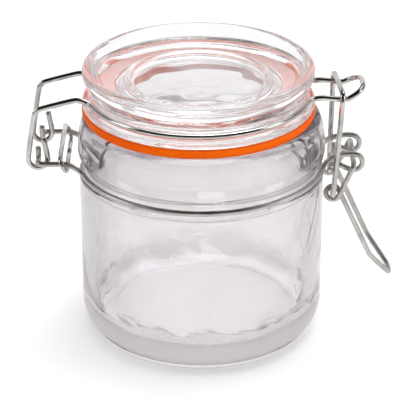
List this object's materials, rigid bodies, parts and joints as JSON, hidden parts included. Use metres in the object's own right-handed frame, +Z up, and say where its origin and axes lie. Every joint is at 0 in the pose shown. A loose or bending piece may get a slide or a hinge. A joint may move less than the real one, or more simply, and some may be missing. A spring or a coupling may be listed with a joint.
{
  "type": "lidded glass canister",
  "caption": "Small round glass storage jar with a hinged glass lid, orange rubber sealing ring and a wire clip latch with a lift lever.",
  "frame": {"origin": "middle of the jar's flat underside", "axes": "+Z up along the jar's axis, +X from the hinge towards the latch and lever, +Y across the jar"},
  "size_m": [0.1064, 0.0722, 0.0826],
  "materials": {
    "clear_glass": "clear pressed glass, smooth, very faintly grey",
    "wire_bright": "bright nickel-plated wire",
    "wire_dull": "duller drawn steel wire with fine drawing marks",
    "orange_rubber": "smooth matte orange rubber"
  },
  "bodies": {
    "jar": {"jar_glass": "clear_glass", "neck_wire": "wire_dull"},
    "link": {"keeper_link": "wire_bright"},
    "lid": {"lid_glass": "clear_glass", "sealing_ring": "orange_rubber", "lid_wire": "wire_bright"},
    "lever": {"lever_wire": "wire_dull"},
    "catch": {"catch_wire": "wire_bright"}
  },
  "joints": [
    {"name": "lid_hinge", "type": "hinge", "parent": "jar", "child": "lid", "pos_m": [-0.0465, 0, 0.056], "axis": [0, -1, 0], "range_deg": [0, 200]},
    {"name": "lever_pivot", "type": "hinge", "parent": "jar", "child": "lever", "pos_m": [0.04355, 0, 0.0546], "axis": [0, -1, 0], "range_deg": [0, 150], "deforming": ["catch_wire"]},
    {"name": "catch_pivot", "type": "hinge", "parent": "lever", "child": "catch", "pos_m": [0.0377, 0, 0.0456], "axis": [0, -1, 0], "range_deg": [-138, 0]},
    {"name": "link_slide", "type": "slide", "parent": "jar", "child": "link", "axis": [1, 0, 0], "range_m": [-0.0012, 0.0005]}
  ],
  "couplings": [
    {"joint": "catch_pivot", "follows": "lever_pivot", "ratio": -0.92}
  ]
}
